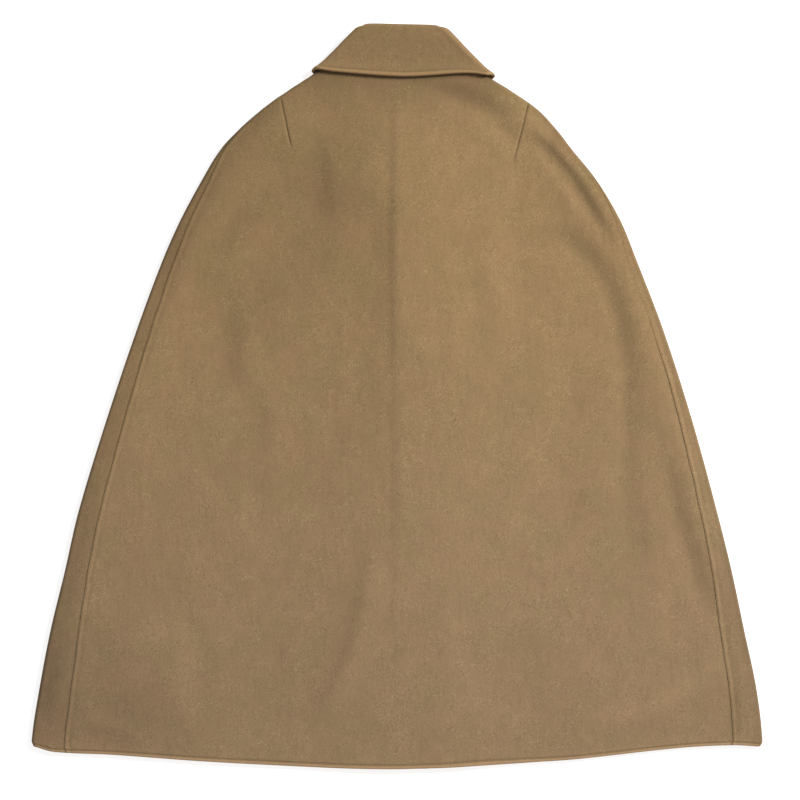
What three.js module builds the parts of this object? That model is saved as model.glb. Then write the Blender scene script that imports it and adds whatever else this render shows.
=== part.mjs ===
// Wool cape laid flat on its front, seen from the back. Millimetres, +Z up, the surface at z = 0.
// +Y runs from the hem to the collar. Left and right are the wearer's, so left is on -X here.
import * as THREE from "three";

// Cloth
const CLOTH = 2.8; // double-faced wool
const SEAT = 0.4; // between layers that lie on each other
const SEAM_GAP = 0.3; // between pieces sewn edge to edge
const EDGE_ROLL = 1.2; // how much thicker the turned hem and collar edge are
const EDGE_ROLL_WIDTH = 6;
const EDGE_ROLL_END = 9;

// Lay
const BROAD_LOFT = 3; // how far the back stands off the fronts, between its folds
const SIDE_SHARE = { left: [0.5, 1.5], right: [0.6, 1.4] }; // of that at the side folds, and inside them
const SIDE_RISE = 30; // how far inside the outline the back stands highest
const SIDE_END = 85; // and where it is down at its broad loft
const FOLD_FADE = 24; // folds fade out this far inside the outline
const FOLD_TAPER = 0.3; // share of a fold's length over which it dies away at each end
const LOFT_EASE = 0.5; // rounds the loft off where a deep fold brings it down to nothing
const HEM_LOFT = 0.4; // share of the broad loft that is left at the hem
const HEM_LOFT_WIDTH = 90;
const PEEK = { x: 108, halfWidth: 90, ease: 30, height: 2.6, reach: 60 }; // the front shows below the back's hem

// The fronts lap at the centre, the right one outside and so nearest the surface
const LAP = { rightEdge: -2, leftEdge: 42, clear: 1, slope: 20 };
const LAP_DRAPE = { above: 34, below: 130, from: 150, to: -250, end: 170 }; // the back's slopes over it

// Neck: here the collar lies beneath the fronts and on the back, so every layer is level
const NECK = { x: 8, y: 452, reach: 170, fade: 60, seamY: 453 };
const NECK_LOFT = CLOTH + SEAT + 0.3;
const FRONT_LEVEL = CLOTH / 2 + CLOTH + SEAT;
const BACK_LEVEL = FRONT_LEVEL + CLOTH + SEAT + NECK_LOFT;
const STAND_LEVEL = (BACK_LEVEL - FRONT_LEVEL) / 2; // of the collar's stand, from the neck's middle
const ROLL_LOFT = 2.4; // how far the fall stands off its stand at the roll line
const ROLL_REACH = 0.7; // share of the fall's width over which it comes down again
const EDGE_LIFT = { height: 1.6, from: 20, to: 5 }; // the fall's edge stands up, from and to inside it
const NECK_CALM = { from: 412, to: 438, depth: 2.4 }; // folds end here, and none sinks further by the neck
const FRONT_TOP_Y = 449.5;
const NECKLINE_EASE = 1.4; // from the collar's neck edge down to the front's
const NECKLINE_FOOT = { left: 380, right: 379 };
const NECKLINE_STEP = 0.6;

const HEM_SIDE_Y = -472;
const HEM_BEND_HEIGHT = 320;
const COLOUR = 0x94805c;

// Sections of the laid cape from hem to neck: the reach of each side, and its seam's place inside that
const SECTIONS = [
  { y: -472, left: 490, right: 490, leftSeam: 44, rightSeam: 40.5 },
  { y: -464, left: 493, right: 493, leftSeam: 44, rightSeam: 40.5 },
  { y: -396, left: 483, right: 485, leftSeam: 42.5, rightSeam: 38.5 },
  { y: -315, left: 468, right: 468, leftSeam: 38.5, rightSeam: 33 },
  { y: -234, left: 448, right: 451, leftSeam: 31.5, rightSeam: 27.5 },
  { y: -153, left: 429, right: 431, leftSeam: 29, rightSeam: 23.5 },
  { y: -32, left: 392, right: 398, leftSeam: 24, rightSeam: 18.5 },
  { y: 90, left: 351, right: 359, leftSeam: 19, rightSeam: 14.5 },
  { y: 184, left: 316, right: 323, leftSeam: 15.5, rightSeam: 12.5 },
  { y: 238, left: 292, right: 301, leftSeam: 13, rightSeam: 7 },
  { y: 292, left: 263, right: 269, leftSeam: 10, rightSeam: 1 },
  { y: 333, left: 238, right: 236, leftSeam: 5, rightSeam: 0 },
  { y: 360, left: 213, right: 215, leftSeam: 1, rightSeam: 0 },
  { y: 387, left: 182, right: 189, leftSeam: 0, rightSeam: 0 },
  { y: 414, left: 144, right: 150, leftSeam: 0, rightSeam: 0 },
  { y: 435, left: 112, right: 117, leftSeam: 0, rightSeam: 0 },
  { y: 456, left: 91.5, right: 101, leftSeam: 0, rightSeam: 0 },
];

// The hem's height across the cape
const HEM = [
  { x: -489, y: -472 },
  { x: -462, y: -479 },
  { x: -381, y: -483 },
  { x: -273, y: -491 },
  { x: -165, y: -497 },
  { x: -57, y: -501.5 },
  { x: 51, y: -501.5 },
  { x: 132, y: -497 },
  { x: 240, y: -489 },
  { x: 348, y: -477 },
  { x: 402, y: -472 },
  { x: 456, y: -470 },
  { x: 489, y: -472 },
];

// Largest soft folds of the back: a bowed line, its half width, and its height or, below zero, depth
const FOLDS = [
  { fromX: 8, fromY: 430, viaX: 12, viaY: 120, toX: 14, toY: -300, width: 90, height: 3 },
  { fromX: -95, fromY: 410, viaX: -55, viaY: 250, toX: -215, toY: 150, width: 44, height: -2.6 },
  { fromX: 40, fromY: 424, viaX: 140, viaY: 396, toX: 188, toY: 318, width: 15, height: -2.2 },
  { fromX: 172, fromY: 356, viaX: 230, viaY: 308, toX: 290, toY: 200, width: 15, height: -3.2 },
  { fromX: 205, fromY: 214, viaX: 326, viaY: 178, toX: 316, toY: -40, width: 16, height: -2.8 },
  { fromX: 312, fromY: 20, viaX: 304, viaY: -120, toX: 330, toY: -240, width: 17, height: -1.9 },
  { fromX: 359, fromY: -72, viaX: 371, viaY: -167, toX: 420, toY: -300, width: 16, height: -2 },
  { fromX: -286, fromY: -275, viaX: -262, viaY: -350, toX: -259, toY: -430, width: 20, height: -1.6 },
  { fromX: -34, fromY: -190, viaX: -38, viaY: -350, toX: -112, toY: -436, width: 18, height: 2.8 },
  { fromX: 440, fromY: -340, viaX: 372, viaY: -430, toX: 262, toY: -446, width: 17, height: 2.2 },
  { fromX: -78, fromY: 350, viaX: -80, viaY: 300, toX: -84, toY: 225, width: 15, height: 1.8 },
  { fromX: -150, fromY: 285, viaX: -205, viaY: 228, toX: -250, toY: 150, width: 22, height: 2 },
  { fromX: -205, fromY: 117, viaX: -202, viaY: 60, toX: -201, toY: 9, width: 18, height: 1.7 },
  { fromX: -165, fromY: 22, viaX: -170, viaY: -60, toX: -166, toY: -140, width: 20, height: 1.6 },
  { fromX: 121, fromY: 265, viaX: 130, viaY: 165, toX: 148, toY: 63, width: 24, height: 1.6 },
  { fromX: 186, fromY: -65, viaX: 160, viaY: -130, toX: 132, toY: -207, width: 22, height: 1.5 },
  { fromX: 240, fromY: -136, viaX: 270, viaY: -130, toX: 301, toY: -121, width: 14, height: 1.3 },
  { fromX: -425, fromY: -438, viaX: -380, viaY: -452, toX: -335, toY: -458, width: 14, height: 1.5 },
];

// Stations of the collar from its left end to its right: roll line, outer edge, and neck seam's height.
// A station that turns lies on the fold at the side of the neck. Its turn starts on the back.
const COLLAR = [
  { rollX: -5, rollY: 387, edgeX: -54, edgeY: 319, neckY: 380, turn: 180 },
  { rollX: -50, rollY: 440, edgeX: -98, edgeY: 372, neckY: 420, turn: 180 },
  {
    rollX: -56, rollY: 492.5, edgeX: -115, edgeY: 437.5, neckY: NECK.seamY, turn: "left",
    start: { rollX: -45.5, rollY: 499.3, edgeX: -104, edgeY: 439.5 },
  },
  { rollX: -36, rollY: 501.8, edgeX: -78, edgeY: 436, neckY: NECK.seamY, turn: 0 },
  { rollX: 5, rollY: 501, edgeX: 8, edgeY: 430, neckY: NECK.seamY, turn: 0 },
  { rollX: 46, rollY: 500, edgeX: 90, edgeY: 434.5, neckY: NECK.seamY, turn: 0 },
  {
    rollX: 69, rollY: 492.5, edgeX: 132, edgeY: 431, neckY: NECK.seamY, turn: "right",
    start: { rollX: 56, rollY: 498, edgeX: 122, edgeY: 431.5 },
  },
  { rollX: 65, rollY: 440, edgeX: 113, edgeY: 372, neckY: 420, turn: 180 },
  { rollX: 22, rollY: 387, edgeX: 72, edgeY: 319, neckY: 380, turn: 180 },
];

// Fineness: rows run across the cape, steps along a row
const ROW_STEP = 32;
const EDGE_ROWS = [0, 2, EDGE_ROLL_WIDTH, EDGE_ROLL_END]; // from a turned edge inwards
const HEM_ROW_GAP = 24; // from the hem to the first of the even rows
const SHOULDER_Y = 352; // the last of the even rows
const SHOULDER_ROWS = [366, 394, 408, 420, 432, 441];
const NECKLINE_ROW = 7; // an extra row this far above the neckline's foot
const BACK_STEPS = 15;
const FRONT_STEPS = 8;
const LAP_STEPS = 2;
const FOLD_TURN_STEPS = 6;
const SEAM_STRIP_STEPS = 2;
const SEAM_STRIP_LEAST = 1; // shortest strip between a seam and its fold's turn
const BOW_STEPS = 10;
const FIT_PASSES = 4;
const COLLAR_STEPS = 2;
const COLLAR_TURN_STEPS = 6;
const STAND_STEPS = 2;
const ROLL_TURN_STEPS = 4;
const FALL_STEPS = 3;
const FALL_END = 20; // the last even point of the fall, from its outer edge

// Small helpers

function mix(from, to, share) {
  return from + (to - from) * share;
}

function smooth(low, high, value) {
  const share = Math.min(1, Math.max(0, (value - low) / (high - low)));
  return share * share * (3 - 2 * share);
}

function spread(from, to, steps) {
  return Array.from({ length: steps + 1 }, (_, i) => mix(from, to, i / steps));
}

// A smooth curve through one column of a table whose rows rise by their key
function along(table, key, column, at) {
  const last = table.length - 1;
  const place = Math.min(table[last][key], Math.max(table[0][key], at));
  let low = 0;
  while (low < last - 1 && table[low + 1][key] < place) low += 1;
  const slopeAt = (row) => {
    const before = table[Math.max(row - 1, 0)];
    const after = table[Math.min(row + 1, last)];
    return (after[column] - before[column]) / (after[key] - before[key]);
  };
  const span = table[low + 1][key] - table[low][key];
  const share = (place - table[low][key]) / span;
  const square = share * share;
  const cube = square * share;
  return (
    (2 * cube - 3 * square + 1) * table[low][column] +
    (cube - 2 * square + share) * span * slopeAt(low) +
    (3 * square - 2 * cube) * table[low + 1][column] +
    (cube - square) * span * slopeAt(low + 1)
  );
}

// Plan of the laid cape

function reach(side, y) {
  return along(SECTIONS, "y", side, y);
}

function seamInset(side, y) {
  return Math.max(0, along(SECTIONS, "y", side + "Seam", y));
}

// How much wider the fold is along X than square to the outline, where the outline slants
function slant(side, y) {
  const step = 4;
  return Math.hypot(1, (reach(side, y + step) - reach(side, y - step)) / (2 * step));
}

// How much higher the back's hem lies than the fronts', where a front shows below it
function peek(x, sectionY) {
  const past = Math.abs(x - PEEK.x) - PEEK.halfWidth;
  const height = PEEK.height * (1 - smooth(-PEEK.ease, PEEK.ease, past));
  return height * (1 - smooth(0, PEEK.reach, sectionY - HEM_SIDE_Y));
}

// The true height on the lay of a point of a section: the lower sections bend with the hem
function bentY(x, sectionY) {
  const bend = along(HEM, "x", "y", x) - HEM_SIDE_Y;
  return sectionY + bend * (1 - smooth(0, HEM_BEND_HEIGHT, sectionY - HEM_SIDE_Y));
}

// Heights of the layers

function neckShare(x, y) {
  return 1 - smooth(NECK.reach, NECK.reach + NECK.fade, Math.hypot(x - NECK.x, y - NECK.y));
}

function edgeRoll(fromEdge) {
  const rise = smooth(-EDGE_ROLL_WIDTH / 2, EDGE_ROLL_WIDTH / 3, fromEdge);
  return EDGE_ROLL * rise * (1 - smooth(EDGE_ROLL_WIDTH, EDGE_ROLL_END, fromEdge));
}

function hemRoll(sectionY) {
  return edgeRoll(sectionY - HEM_SIDE_Y);
}

function lapRise(x, sectionY, slope) {
  const rise = smooth(LAP.rightEdge - slope, LAP.rightEdge - LAP.clear, x);
  return (CLOTH + SEAT + hemRoll(sectionY)) * rise;
}

function frontMiddle(side, x, sectionY) {
  const overCollar = (CLOTH + SEAT) * neckShare(x, bentY(x, sectionY));
  return CLOTH / 2 + overCollar + (side === "left" ? lapRise(x, sectionY, LAP.slope) : 0);
}

// Height of the bowed folds at a point of the plan: each dies away at its ends
function foldRelief(x, y) {
  let relief = 0;
  for (const fold of FOLDS) {
    const line = spread(0, 1, BOW_STEPS).map((share) => {
      const back = (1 - share) * (1 - share);
      const middle = 2 * share * (1 - share);
      return new THREE.Vector2(
        back * fold.fromX + middle * fold.viaX + share * share * fold.toX,
        back * fold.fromY + middle * fold.viaY + share * share * fold.toY,
      );
    });
    let nearest = Infinity;
    let placeOfNearest = 0;
    for (let step = 0; step < BOW_STEPS; step += 1) {
      const run = line[step + 1].clone().sub(line[step]);
      const off = new THREE.Vector2(x, y).sub(line[step]);
      const share = Math.min(1, Math.max(0, off.dot(run) / run.lengthSq()));
      const distance = off.distanceTo(run.multiplyScalar(share));
      if (distance < nearest) {
        nearest = distance;
        placeOfNearest = (step + share) / BOW_STEPS;
      }
    }
    const fromEnd = Math.min(placeOfNearest, 1 - placeOfNearest);
    const taper = smooth(-FOLD_TAPER / 3, FOLD_TAPER, fromEnd);
    relief += fold.height * taper * Math.exp(-((nearest / fold.width) ** 2));
  }
  return relief;
}

// Share of the broad loft near a side fold: the back rises from the fold and comes down again
function sideShare(side, inside) {
  const [atFold, highest] = SIDE_SHARE[side];
  const rising = mix(atFold, highest, smooth(0, SIDE_RISE, inside));
  return mix(rising, 1, smooth(SIDE_RISE, SIDE_END, inside));
}

function backMiddle(x, sectionY) {
  const y = bentY(x, sectionY);
  const fromLeft = (x + reach("left", sectionY)) / slant("left", sectionY);
  const fromRight = (reach("right", sectionY) - x) / slant("right", sectionY);
  const inside = Math.min(fromLeft, fromRight);
  const hemShare = mix(HEM_LOFT, 1, smooth(0, HEM_LOFT_WIDTH, sectionY - HEM_SIDE_Y));
  const folds = foldRelief(x, y) * smooth(0, FOLD_FADE, inside);
  const sides = sideShare("left", fromLeft) * sideShare("right", fromRight);
  const relief = BROAD_LOFT * hemShare * sides + folds;
  const loft = (relief + Math.hypot(relief, LOFT_EASE)) / 2;
  const pastLap = smooth(LAP.leftEdge + LAP.clear, LAP_DRAPE.end, x);
  const slope = mix(LAP_DRAPE.above, LAP_DRAPE.below, smooth(LAP_DRAPE.from, LAP_DRAPE.to, sectionY));
  const lap = lapRise(x, sectionY, slope) * (1 - pastLap);
  const level = CLOTH + hemRoll(sectionY) + lap + SEAT + CLOTH / 2 + loft;
  const byNeck = Math.max(-NECK_CALM.depth, folds) * (1 - smooth(NECK_CALM.from, NECK_CALM.to, y));
  return mix(level, BACK_LEVEL + byNeck, neckShare(x, y));
}

// The side fold of one section: where it starts to turn, its radius in the cloth's middle, and the seam
function sideFold(side, sectionY) {
  const sign = side === "left" ? -1 : 1;
  const stretch = slant(side, sectionY);
  let radius = BROAD_LOFT;
  let x = 0;
  for (let pass = 0; pass < FIT_PASSES; pass += 1) {
    x = sign * (reach(side, sectionY) - stretch * (radius + CLOTH / 2));
    radius = (backMiddle(x, sectionY) - frontMiddle(side, x, sectionY)) / 2;
  }
  const middle = frontMiddle(side, x, sectionY) + radius;
  const quarter = (Math.PI / 2) * radius;
  const inset = seamInset(side, sectionY);
  const turnWidth = stretch * (radius + CLOTH / 2);
  const seamAngle = Math.acos(Math.max(0, 1 - inset / turnWidth));
  const seam = inset < turnWidth ? radius * seamAngle : quarter + inset - turnWidth;
  return { side, sign, stretch, radius, x, middle, quarter, seam, sectionY };
}

// The two faces of the cloth at a place on a side fold. Places count from the outermost line,
// upwards over the back, and past the turn they run level.
function foldPoint(fold, place) {
  const roll = hemRoll(fold.sectionY);
  if (place >= fold.quarter) {
    return topPoint(fold.x - fold.sign * (place - fold.quarter), fold.sectionY);
  }
  const angle = place / fold.radius;
  const up = (1 + Math.sin(angle)) / 2;
  const face = (offset) => {
    const distance = fold.radius + offset;
    const x = fold.x + fold.sign * fold.stretch * distance * Math.cos(angle);
    const z = fold.middle + distance * Math.sin(angle);
    return new THREE.Vector3(x, bentY(x, fold.sectionY), z);
  };
  return { outer: face(CLOTH / 2 + roll * up), inner: face(-CLOTH / 2 - roll * (1 - up)) };
}

function topPoint(x, sectionY) {
  const y = bentY(x, sectionY) + peek(x, sectionY);
  const z = backMiddle(x, sectionY);
  return {
    outer: new THREE.Vector3(x, y, z + CLOTH / 2 + hemRoll(sectionY)),
    inner: new THREE.Vector3(x, y, z - CLOTH / 2),
  };
}

function underPoint(side, x, sectionY) {
  const y = bentY(x, sectionY);
  const z = frontMiddle(side, x, sectionY);
  return {
    outer: new THREE.Vector3(x, y, z - CLOTH / 2),
    inner: new THREE.Vector3(x, y, z + CLOTH / 2 + hemRoll(sectionY)),
  };
}

// A closed wall of cloth through rows of points, each with its outer and inner face
function clothWall(rows) {
  const across = rows[0].length;
  const positions = [];
  for (const face of ["outer", "inner"]) {
    for (const row of rows) {
      for (const point of row) positions.push(...point[face].toArray());
    }
  }
  const half = rows.length * across;
  const outer = (row, column) => row * across + column;
  const inner = (row, column) => half + row * across + column;
  const index = [];
  const quad = (a, b, c, d) => index.push(a, b, c, a, c, d);
  for (let r = 0; r < rows.length - 1; r += 1) {
    for (let c = 0; c < across - 1; c += 1) {
      quad(outer(r, c), outer(r, c + 1), outer(r + 1, c + 1), outer(r + 1, c));
      quad(inner(r, c), inner(r + 1, c), inner(r + 1, c + 1), inner(r, c + 1));
    }
    quad(outer(r, 0), outer(r + 1, 0), inner(r + 1, 0), inner(r, 0));
    const last = across - 1;
    quad(outer(r, last), inner(r, last), inner(r + 1, last), outer(r + 1, last));
  }
  const top = rows.length - 1;
  for (let c = 0; c < across - 1; c += 1) {
    quad(outer(0, c), inner(0, c), inner(0, c + 1), outer(0, c + 1));
    quad(outer(top, c), outer(top, c + 1), inner(top, c + 1), inner(top, c));
  }
  if (volume(positions, index) < 0) index.reverse();
  const geometry = new THREE.BufferGeometry();
  geometry.setAttribute("position", new THREE.Float32BufferAttribute(positions, 3));
  geometry.setIndex(index);
  geometry.computeVertexNormals();
  return geometry;
}

function volume(positions, index) {
  const corner = (i) => new THREE.Vector3().fromArray(positions, 3 * index[i]);
  let total = 0;
  for (let i = 0; i < index.length; i += 3) {
    total += corner(i).dot(corner(i + 1).cross(corner(i + 2)));
  }
  return total / 6;
}

// Heights of the sections from the hem, with four close ones at its turned edge
function sectionRows(top, extra) {
  const edge = EDGE_ROWS.map((step) => HEM_SIDE_Y + step);
  const first = HEM_SIDE_Y + HEM_ROW_GAP;
  const even = spread(first, SHOULDER_Y, Math.round((SHOULDER_Y - first) / ROW_STEP));
  return [...edge, ...even, ...SHOULDER_ROWS, top, ...extra].sort((a, b) => a - b);
}

// Places along a row up the slope of the lap and across it. The layers share them, so none touch.
function lapSteps(end) {
  const top = LAP.rightEdge - LAP.clear;
  const slope = spread(LAP.rightEdge - LAP.slope, top, LAP_STEPS);
  return [...slope.slice(1), ...spread(top, end, LAP_STEPS).slice(1)];
}

// Back panel, from seam to seam over the side folds where the seam lies on them
function backPanel() {
  const lapEnd = LAP.leftEdge + LAP.clear;
  const lapFoot = LAP.leftEdge + LAP.slope;
  const rows = sectionRows(NECK.seamY - SEAM_GAP, []).map((sectionY) => {
    const sides = ["left", "right"].map((side) => sideFold(side, sectionY));
    const [left, right] = sides.map((fold) => {
      const start = fold.seam + SEAM_GAP / 2;
      const end = Math.max(start + SEAM_STRIP_LEAST, fold.quarter);
      const strip = spread(start, end, SEAM_STRIP_STEPS).map((place) => foldPoint(fold, place));
      return { strip, x: fold.x - fold.sign * (end - fold.quarter) };
    });
    const middle = [
      ...spread(left.x, LAP.rightEdge - LAP.slope, BACK_STEPS).slice(1),
      ...lapSteps(lapEnd),
      ...spread(lapEnd, lapFoot, LAP_STEPS).slice(1),
      ...spread(lapFoot, right.x, BACK_STEPS).slice(1, -1),
    ].map((x) => topPoint(x, sectionY));
    return [...left.strip, ...middle, ...right.strip.reverse()];
  });
  return clothWall(rows);
}

// Where a front ends across a section: at its opening edge, or above that at the neckline
function frontEnd(side, sectionY, neckEdge) {
  if (sectionY < NECKLINE_FOOT[side] - NECKLINE_STEP / 2) {
    return side === "left" ? LAP.leftEdge : LAP.rightEdge;
  }
  const y = sectionY + NECKLINE_EASE;
  let step = 0;
  while (step < neckEdge.length - 2 && neckEdge[step + 1].y < y) step += 1;
  const low = neckEdge[step];
  const high = neckEdge[step + 1];
  return mix(low.x, high.x, (y - low.y) / (high.y - low.y));
}

// A front, from its seam on the back, round the side fold and under to the opening
function frontPanel(side, neckEdge) {
  const foot = NECKLINE_FOOT[side];
  const neckline = [foot + NECKLINE_ROW, foot, foot - NECKLINE_STEP];
  const lapFrom = LAP.rightEdge - LAP.slope;
  const rows = sectionRows(FRONT_TOP_Y, neckline).map((sectionY) => {
    const fold = sideFold(side, sectionY);
    const start = fold.seam - SEAM_GAP / 2;
    const turn = Math.min(start - SEAM_STRIP_LEAST, fold.quarter);
    const places = [
      ...spread(start, turn, SEAM_STRIP_STEPS),
      ...spread(turn, -fold.quarter, FOLD_TURN_STEPS).slice(1),
    ];
    const end = frontEnd(side, sectionY, neckEdge);
    const lapped = side === "left" && end > lapFrom;
    const under = lapped
      ? [...spread(fold.x, lapFrom, FRONT_STEPS - 2 * LAP_STEPS), ...lapSteps(end)]
      : spread(fold.x, end, FRONT_STEPS);
    return [
      ...places.map((place) => foldPoint(fold, place)),
      ...under.slice(1).map((x) => underPoint(side, x, sectionY)),
    ];
  });
  return clothWall(rows);
}

// Collar

// Stations with the fold stations opened out into their turn, each with its plan directions
function collarStations() {
  const outside = STAND_LEVEL + CLOTH + SEAT + CLOTH / 2;
  const rows = [];
  for (const row of COLLAR) {
    if (typeof row.turn === "number") {
      rows.push({ ...row, outX: 0, outY: 0 });
      continue;
    }
    const sign = row.turn === "left" ? -1 : 1;
    const width = Math.hypot(row.edgeX - row.rollX, row.edgeY - row.rollY);
    const outX = (sign * (row.rollY - row.edgeY)) / width;
    const outY = (sign * (row.edgeX - row.rollX)) / width;
    const turns = spread(180, 0, COLLAR_TURN_STEPS);
    if (sign > 0) turns.reverse();
    for (const turn of turns) {
      const share = Math.max(0, 1 - turn / 90);
      rows.push({
        rollX: mix(row.rollX - outX * outside, row.start.rollX, share),
        rollY: mix(row.rollY - outY * outside, row.start.rollY, share),
        edgeX: mix(row.edgeX - outX * outside, row.start.edgeX, share),
        edgeY: mix(row.edgeY - outY * outside, row.start.edgeY, share),
        neckY: row.neckY,
        turn,
        outX,
        outY,
      });
    }
  }
  return rows;
}

// The stations with more between them on a smooth curve, other than in a turn
function eased(rows) {
  const keyed = rows.map((row, order) => ({ ...row, order }));
  const columns = ["rollX", "rollY", "edgeX", "edgeY", "neckY"];
  const result = [];
  for (let i = 0; i < keyed.length - 1; i += 1) {
    const turning = keyed[i].turn !== keyed[i + 1].turn;
    for (const order of spread(i, i + 1, turning ? 1 : COLLAR_STEPS).slice(0, -1)) {
      const station = { ...keyed[i] };
      for (const column of columns) station[column] = along(keyed, "order", column, order);
      result.push(station);
    }
  }
  return [...result, keyed[keyed.length - 1]];
}

function neckPoint(station) {
  const share = (station.rollY - station.neckY) / (station.rollY - station.edgeY);
  return new THREE.Vector2(mix(station.rollX, station.edgeX, share), station.neckY);
}

// One station: up the stand, over the roll line and down the fall to the outer edge
function collarRow(station) {
  const turn = THREE.MathUtils.degToRad(station.turn);
  const onBack = (1 + Math.cos(turn)) / 2;
  const roll = new THREE.Vector2(station.rollX, station.rollY);
  const edge = new THREE.Vector2(station.edgeX, station.edgeY);
  const width = roll.distanceTo(edge);
  const down = edge.clone().sub(roll).divideScalar(width);
  const stand = neckPoint(station).distanceTo(roll);
  const rollRadius = (CLOTH + SEAT + ROLL_LOFT * onBack) / 2;
  const rollStart = rollRadius + CLOTH / 2;
  const path = [];
  for (const place of spread(stand, rollStart, STAND_STEPS)) {
    path.push({ place, level: STAND_LEVEL, normalPlace: 0, normalLevel: -1, thicker: 0 });
  }
  for (const angle of spread(0, Math.PI, ROLL_TURN_STEPS).slice(1, -1)) {
    path.push({
      place: rollStart - rollRadius * Math.sin(angle),
      level: STAND_LEVEL + rollRadius - rollRadius * Math.cos(angle),
      normalPlace: -Math.sin(angle),
      normalLevel: -Math.cos(angle),
      thicker: 0,
    });
  }
  const turnedEdge = EDGE_ROWS.map((step) => width - step).reverse();
  for (const place of [...spread(rollStart, width - FALL_END, FALL_STEPS), ...turnedEdge]) {
    const rolling = 1 - smooth(rollStart, ROLL_REACH * width, place);
    const lift = EDGE_LIFT.height * smooth(width - EDGE_LIFT.from, width - EDGE_LIFT.to, place);
    path.push({
      place,
      level: STAND_LEVEL + CLOTH + SEAT + (ROLL_LOFT * rolling + lift) * onBack,
      normalPlace: 0,
      normalLevel: 1,
      thicker: edgeRoll(width - place) * onBack,
    });
  }
  const middle = (BACK_LEVEL + FRONT_LEVEL) / 2;
  const face = (point, offset) => {
    const place = point.place + point.normalPlace * offset;
    const level = point.level + point.normalLevel * offset;
    const sideways = level * Math.sin(turn);
    return new THREE.Vector3(
      roll.x + down.x * place + station.outX * sideways,
      roll.y + down.y * place + station.outY * sideways,
      middle + level * Math.cos(turn),
    );
  };
  return path.map((point) => ({
    outer: face(point, CLOTH / 2 + point.thicker),
    inner: face(point, -CLOTH / 2),
  }));
}

const stations = eased(collarStations());

// The collar's neck edge beneath the fronts, from the front end up to the side of the neck
function neckEdgeOf(side) {
  const under = stations.filter((station) => station.turn === 180);
  const half = under.filter((station) => station.rollX < NECK.x === (side === "left"));
  return half.map(neckPoint).sort((a, b) => a.y - b.y);
}

function wool(name) {
  const shade = { back_panel: 1, left_front: 0.98, right_front: 0.99, collar: 1.01 }[name];
  const color = new THREE.Color(COLOUR).multiplyScalar(shade);
  return new THREE.MeshStandardMaterial({ color, roughness: 0.95, metalness: 0, name: "wool" });
}

const pieces = {
  back_panel: backPanel(),
  left_front: frontPanel("left", neckEdgeOf("left")),
  right_front: frontPanel("right", neckEdgeOf("right")),
  collar: clothWall(stations.map(collarRow)),
};

const cape = new THREE.Group();
for (const [name, geometry] of Object.entries(pieces)) {
  const mesh = new THREE.Mesh(geometry, wool(name));
  mesh.name = name;
  cape.add(mesh);
}

export default cape;
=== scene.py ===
# Wool cape laid flat on its front, seen from the back: its cloth, sewing and finish.
# Shapes are worked out in millimetres and become metres when a mesh is made.
# +Y runs from the hem to the collar. Left and right are the wearer's, so left is on -X here.
import math

import bmesh
import bpy
import numpy as np
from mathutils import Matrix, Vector, noise


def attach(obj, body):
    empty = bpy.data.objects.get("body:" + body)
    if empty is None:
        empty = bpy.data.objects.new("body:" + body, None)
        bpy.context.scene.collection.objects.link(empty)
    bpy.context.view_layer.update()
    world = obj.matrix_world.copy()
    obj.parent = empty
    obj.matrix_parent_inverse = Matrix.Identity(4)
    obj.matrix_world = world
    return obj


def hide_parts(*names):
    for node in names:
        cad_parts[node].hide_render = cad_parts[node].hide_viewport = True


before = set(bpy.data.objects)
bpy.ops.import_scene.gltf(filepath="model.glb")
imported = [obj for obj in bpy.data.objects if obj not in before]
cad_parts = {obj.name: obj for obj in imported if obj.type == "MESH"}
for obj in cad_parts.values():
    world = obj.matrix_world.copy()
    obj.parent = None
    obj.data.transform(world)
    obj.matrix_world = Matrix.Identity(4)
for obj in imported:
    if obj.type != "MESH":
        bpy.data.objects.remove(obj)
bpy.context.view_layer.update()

MM = 0.001

# Cloth
CLOTH = 2.8  # double-faced wool
SEAT = 0.4  # between layers that lie on each other
SEAM_GAP = 0.3  # between pieces sewn edge to edge
EDGE_ROLL = 1.2  # how much thicker the turned hem and collar edge are
EDGE_ROLL_RISE = (-3, 2)  # it grows thicker between these distances from the edge, then thinner
EDGE_ROLL_FALL = (4.8, 9)

# Lay
BROAD_LOFT = 3  # how far the back stands off the fronts, between its folds
SIDE_SHARE = {"left": (0.5, 1.5), "right": (0.6, 1.4)}  # of that at the side folds, and inside them
SIDE_RISE = 30  # how far inside the outline the back stands highest
SIDE_END = 85  # and where it is down at its broad loft
FOLD_FADE = 24  # folds fade out this far inside the outline
FOLD_TAPER = 0.3  # share of a fold's length over which it dies away at each end
LOFT_EASE = 0.5  # rounds the loft off where a deep fold brings it down to nothing
HEM_LOFT = 0.4  # share of the broad loft that is left at the hem
HEM_LOFT_WIDTH = 90
PEEK_X = 108  # about here the front shows below the back's hem
PEEK_HALF_WIDTH = 90
PEEK_EASE = 30
PEEK_HEIGHT = 0.9
PEEK_REACH = 60  # how far up the back is raised with its hem

# The fronts lap at the centre, the right one outside and so nearest the surface
LAP_EDGE = {"left": 42, "right": -2}
LAP_CLEAR = 1
LAP_SLOPE = 20  # over this width the left front comes up on to the right one
LAP_DRAPE = (34, 130)  # the back's own slope over it in its upper part, and in its lower
LAP_DRAPE_CHANGE = (150, -250)  # heights between which it changes
LAP_DRAPE_END = 170  # how far right of it the back comes down off the lap

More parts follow.
